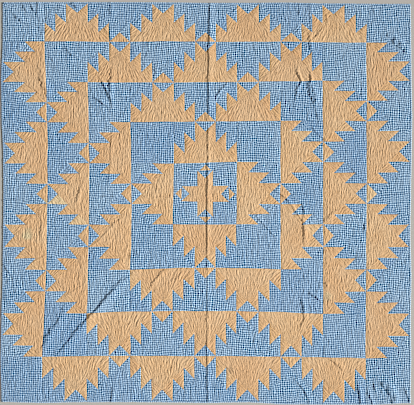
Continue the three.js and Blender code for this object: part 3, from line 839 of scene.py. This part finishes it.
class Shader:
    """A material's node tree with short calls for the nodes that the cloths share."""

    def __init__(self, name):
        self.material = bpy.data.materials.new(name)
        self.material.use_nodes = True
        self.tree = self.material.node_tree
        self.surface = self.tree.nodes["Principled BSDF"]

    def node(self, kind, **settings):
        made = self.tree.nodes.new(kind)
        for field, value in settings.items():
            setattr(made, field, value)
        return made

    def join(self, source, target):
        self.tree.links.new(source, target)

    def feed(self, socket, value):
        if isinstance(value, bpy.types.NodeSocket):
            self.join(value, socket)
        else:
            socket.default_value = value

    def number(self, name):
        return self.node("ShaderNodeAttribute", attribute_name=name).outputs["Fac"]

    def sum(self, operation, a, b=0.0):
        made = self.node("ShaderNodeMath", operation=operation)
        self.feed(made.inputs[0], a)
        self.feed(made.inputs[1], b)
        return made.outputs[0]

    def ranged(self, value, low, high, to_low=0.0, to_high=1.0):
        made = self.node("ShaderNodeMapRange", interpolation_type="SMOOTHSTEP")
        for k, item in enumerate((value, low, high, to_low, to_high)):
            self.feed(made.inputs[k], item)
        return made.outputs[0]

    def blend(self, share, a, b, way="MIX"):
        made = self.node("ShaderNodeMix", data_type="RGBA", blend_type=way)
        self.feed(made.inputs[0], share)
        self.feed(made.inputs[6], a)
        self.feed(made.inputs[7], b)
        return made.outputs[2]

    def grains(self, row):
        """Noise fixed to the cloth, from a row of grains."""
        scaled = self.node("ShaderNodeMapping")
        self.join(self.node("ShaderNodeTexCoord").outputs["Object"], scaled.inputs["Vector"])
        return self.stretched(scaled, self.node("ShaderNodeTexNoise"), row)

    def streaks(self, row):
        """Noise that follows the rows of quilting."""
        scaled = self.node("ShaderNodeMapping")
        self.join(self.node("ShaderNodeUVMap", uv_map="rows").outputs[0], scaled.inputs["Vector"])
        return self.stretched(scaled, self.node("ShaderNodeTexNoise", noise_dimensions="2D"), row)

    def stretched(self, scaled, made, row):
        scaled.inputs["Scale"].default_value = row["stretch"]
        self.join(scaled.outputs[0], made.inputs["Vector"])
        made.inputs["Scale"].default_value = row["scale"]
        made.inputs["Detail"].default_value = row["detail"]
        return made.outputs["Fac"]

    def share(self, row):
        return self.ranged(self.grains(row), row["low"], row["high"], 0.0, row["most"])

    def bump(self, height, row, more=1.0, under=None):
        made = self.node("ShaderNodeBump")
        made.inputs["Distance"].default_value = row["height"] * more
        made.inputs["Strength"].default_value = row["strength"]
        self.join(height, made.inputs["Height"])
        if under is not None:
            self.join(under, made.inputs["Normal"])
        return made.outputs[0]

    def dry(self, base, relief):
        """Gives the surface its colour and relief and a dry, matt finish."""
        self.join(base, self.surface.inputs["Base Color"])
        self.join(relief, self.surface.inputs["Normal"])
        self.surface.inputs["Roughness"].default_value = ROUGHNESS
        self.surface.inputs["Specular IOR Level"].default_value = SPECULAR


def colour(screen):
    """A shader colour from screen values of 0 to 255."""
    def linear(value):
        value /= 255
        return value / 12.92 if value <= 0.04045 else ((value + 0.055) / 1.055) ** 2.4
    return (*(linear(value) for value in screen), 1.0)


def cotton(shader, base, relief, crease_shade):
    """What the patches' cottons share: stains, painted shade in the creases, gathers, weave relief and
    sheen.
    """
    base = shader.blend(shader.number("stain"), base, colour(STAIN))
    # Painted shade: the cloth's colour is darkened along the creases
    crease_shade_share = shader.sum("MULTIPLY", shader.number("crease"), crease_shade)
    base = shader.blend(crease_shade_share, base, CREASE_SHADE_COLOUR, "MULTIPLY")
    threads = shader.bump(shader.grains(THREADS), THREADS)
    crumples = shader.bump(shader.grains(CRUMPLES), CRUMPLES, relief, threads)
    shader.dry(base, shader.bump(shader.streaks(STREAKS), STREAKS, relief, crumples))
    shader.surface.inputs["Sheen Weight"].default_value = SHEEN
    shader.surface.inputs["Sheen Roughness"].default_value = SHEEN_ROUGHNESS
    return shader.material


def check_cloth(name, deep, middle, pale):
    """Small woven check: pale where both threads are white, deep where both are dyed."""
    shader = Shader(name)
    grain = shader.node("ShaderNodeSeparateXYZ")
    shader.join(shader.node("ShaderNodeUVMap", uv_map="grain").outputs[0], grain.inputs[0])
    warp, weft = (
        shader.ranged(shader.sum("COSINE", grain.outputs[k]), -THREAD_EDGE, THREAD_EDGE) for k in range(2)
    )
    threads = shader.sum("MULTIPLY", shader.sum("ADD", warp, weft), 0.5)
    ramp = shader.node("ShaderNodeValToRGB")
    shader.join(threads, ramp.inputs[0])
    ramp.color_ramp.elements[0].color = colour(deep)
    ramp.color_ramp.elements[1].color = colour(pale)
    ramp.color_ramp.elements.new(0.5).color = colour(middle)
    base = shader.blend(shader.share(CHECK_FADING), ramp.outputs[0], colour(CHECK_FADED))
    tinted = shader.ranged(shader.number("tint"), 0.0, 1.0, 0.0, CHECK_TINTED)
    base = shader.blend(tinted, base, colour(CHECK_TINT))
    return cotton(shader, base, CHECK_RELIEF, CHECK_CREASE_SHADE)


def tan_cloth():
    """Plain tan cotton, a little warmer in the small triangles, with slubs and faded places."""
    shader = Shader("tan_cotton")
    base = shader.blend(shader.share(TAN_SLUBS), colour(TAN_DARK), colour(TAN_LIGHT))
    warm = shader.sum("MULTIPLY", shader.number("small"), TAN_WARMED)
    base = shader.blend(warm, base, colour(TAN_WARM))
    tinted = shader.ranged(shader.number("tint"), 0.0, 1.0, 0.0, TAN_TINTED)
    base = shader.blend(tinted, base, colour(TAN_TINT))
    base = shader.blend(shader.share(TAN_FADING), base, colour(TAN_FADED))
    base = shader.blend(shader.number("pale"), base, colour(TAN_PALE))
    return cotton(shader, base, TAN_RELIEF, TAN_CREASE_SHADE)


def back_cloth():
    """Faded plain cotton for the underside."""
    shader = Shader("plain_back_cotton")
    base = shader.blend(shader.share(BACK_MOTTLE), colour(BACK_DARK), colour(BACK_LIGHT))
    shader.dry(base, shader.bump(shader.grains(BACK_THREADS), BACK_THREADS))
    return shader.material


# Pieces

def patchwork():
    """The tan and the check piece of the centre and of each ring."""
    whole = quilt_mesh()
    whole["pale"] = pale_at(whole)
    patch = whole["patch"]
    tan = np.isin(patch["kind"], TAN_KINDS)
    cloths = {True: tan_cloth(), False: check_cloth("blue_check_cotton", **CHECK)}
    pieces = []
    for ring in range(RINGS + 1):
        for is_tan, word in ((True, "mountains"), (False, "ground")):
            name = f"{word}_ring_{ring}" if ring else ("star_centre" if is_tan else "ground_centre")
            chosen = (patch["ring"] == ring) & (tan == is_tan)
            pieces.append(patch_piece(name, whole, chosen, cloths[is_tan]))
    return pieces


def run_length(x, y):
    """Length along a line of points, from its first to each."""
    return np.concatenate([[0], np.cumsum(np.hypot(np.diff(x), np.diff(y)))])


def binding(side, node, material):
    """A rounded strip of binding along one side, following the quilt's uneven edge."""
    out = SIDES_OUT[side]
    run = np.linspace(-HALF_SPAN, HALF_SPAN, 2 * HALF_SPAN * STEPS + 1)
    edge = np.full_like(run, HALF_SPAN)
    x, y = place(out[0] * edge if out[0] else run, out[1] * edge if out[1] else run)
    if out[1]:
        longer = PIECE_GAP + BINDING_WIDTH
        x = np.concatenate([[x[0] - longer], x, [x[-1] + longer]])
        y = np.concatenate([[y[0]], y, [y[-1]]])
    turns = np.linspace(0, math.pi, BINDING_STEPS)
    across = BINDING_WIDTH * (0.5 - 0.5 * np.cos(turns))
    across = np.concatenate([[0], across, [BINDING_WIDTH]])
    pucker = 1 + unevenness(x, y, BINDING_PUCKER)
    pucker[[0, -1]] = BINDING_END
    reach = PIECE_GAP + across[None, :] * np.minimum(pucker, 1.0)[:, None]
    inner = np.maximum(EDGE_HEIGHT + fold_shape(x, y)[0] + wrinkle_shape(x, y), LEAST_HEIGHT)[:, None]
    crown = (inner + BINDING_HEIGHT - EDGE_HEIGHT) * np.minimum(pucker, PUCKER_MOST)[:, None]
    foot = np.where(turns < math.pi / 2, inner, BINDING_FOOT)
    low = np.full_like(inner, FLOOR_GAP)
    rise = np.concatenate([low, foot + (crown - foot) * np.sin(turns) ** BINDING_FULLNESS, low], 1)
    points = np.stack([x[:, None] + out[0] * reach, y[:, None] + out[1] * reach, rise], 2)
    rows, cols = points.shape[:2]
    k, m = pairs(np.arange(rows - 1), np.arange(cols))
    n = (m + 1) % cols
    quads = np.stack([k * cols + m, k * cols + n, (k + 1) * cols + n, (k + 1) * cols + m], 1)
    fan = np.arange(1, cols - 1)
    last = (rows - 1) * cols
    ends = np.concatenate([
        np.stack([np.zeros_like(fan), fan + 1, fan, np.full_like(fan, -1)], 1),
        np.stack([np.full_like(fan, last), last + fan, last + fan + 1, np.full_like(fan, -1)], 1),
    ])
    if side in ("north", "west"):
        quads, ends = quads[:, ::-1], ends[:, [0, 2, 1, 3]]
    faces = np.concatenate([quads, ends])
    mesh, _, corners = mesh_of(node, points.reshape(-1, 3), faces)
    at = faces[corners]
    along = run_length(x, y)[at // cols]
    over = run_length(across, rise.mean(0))[at % cols]
    add_map(mesh, "grain", np.stack([along, over], 1) * 2 * math.pi / CHECK_PITCH)
    add_map(mesh, "rows", np.stack([along / GATHER_PITCH, over / STITCH_PITCH], 1))
    mesh.materials.append(material)
    piece = new_object(f"{node}_strip", mesh)
    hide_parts(node)
    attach(piece, "root")
    return piece


def underside(material):
    """The quilt's plain back, flat on the floor, turned up a little at the edge behind the binding."""
    run = np.arange(-HALF_SPAN, HALF_SPAN + 1).astype(float)
    p, q = pairs(run, run)
    x, y = place(p, q)
    reach = reach_of(p, q)
    points = np.stack([x, y, np.where(reach == HALF_SPAN, LEAST_HEIGHT - BACK_GAP, FLOOR_GAP)], 1)
    inner = reach == HALF_SPAN - 1
    drawn = 1 + (1 - BACK_TURN / UNIT) / (HALF_SPAN - 1)
    points[inner, 0], points[inner, 1] = place(p[inner] * drawn, q[inner] * drawn)
    count = 2 * HALF_SPAN
    i, j = pairs(np.arange(count), np.arange(count))
    corner = i * (count + 1) + j
    faces = np.stack([corner, corner + 1, corner + count + 2, corner + count + 1], 1)
    mesh, _, _ = mesh_of("quilt_underside", points, faces)
    mesh.materials.append(material)
    piece = new_object("quilt_underside", mesh)
    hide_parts("quilt_body")
    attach(piece, "root")
    return piece


def studio():
    """A pale floor, a soft low light from the right, an even sky and the camera straight above."""
    shader = Shader("pale_floor")
    shader.surface.inputs["Base Color"].default_value = colour(FLOOR)
    shader.surface.inputs["Roughness"].default_value = FLOOR_ROUGHNESS
    bpy.ops.mesh.primitive_plane_add(size=FLOOR_SIZE, location=(0, 0, -FLOOR_DROP))
    floor = bpy.context.object
    floor.name = "floor"
    floor.data.materials.append(shader.material)

    sun = bpy.data.lights.new("key", "SUN")
    sun.energy = SUN_ENERGY
    sun.angle = math.radians(SUN_SIZE)
    key = new_object("key", sun)
    key.rotation_euler = (0, math.radians(SUN_TILT), math.radians(SUN_TURN))

    soft = bpy.data.lights.new("soft", "AREA")
    soft.energy = SOFT_ENERGY
    soft.size = SOFT_SIZE
    pool = new_object("soft", soft)
    pool.location = SOFT_PLACE
    pool.visible_camera = False

    world = bpy.data.worlds.new("studio")
    bpy.context.scene.world = world
    world.use_nodes = True
    sky = world.node_tree.nodes["Background"]
    sky.inputs[0].default_value = SKY
    sky.inputs[1].default_value = SKY_STRENGTH

    lens = bpy.data.cameras.new("camera")
    lens.sensor_width = SENSOR
    lens.lens = SENSOR * CAMERA_HEIGHT / FRAME_WIDTH
    camera = new_object("camera", lens)
    camera.location = (FRAME_OFFSET[0] - MIDDLE[0], FRAME_OFFSET[1] - MIDDLE[1], CAMERA_HEIGHT)
    bpy.context.scene.camera = camera
    bpy.context.scene.view_settings.view_transform = "Standard"


def finish_picture():
    """A mild sharpening of the finished picture."""
    scene = bpy.context.scene
    scene.use_nodes = True
    nodes = scene.node_tree.nodes
    nodes.clear()
    layer = nodes.new("CompositorNodeRLayers")
    sharpen = nodes.new("CompositorNodeFilter")
    sharpen.filter_type = "SHARPEN"
    sharpen.inputs["Fac"].default_value = SHARPEN
    result = nodes.new("CompositorNodeComposite")
    scene.node_tree.links.new(layer.outputs["Image"], sharpen.inputs["Image"])
    scene.node_tree.links.new(sharpen.outputs["Image"], result.inputs["Image"])


studio()
finish_picture()
top = patchwork()
edge_cloth = check_cloth("faded_check_cotton", **FADED_CHECK)
strips = [binding(side, node, edge_cloth) for side, node in BINDINGS.items()]
back = underside(back_cloth())
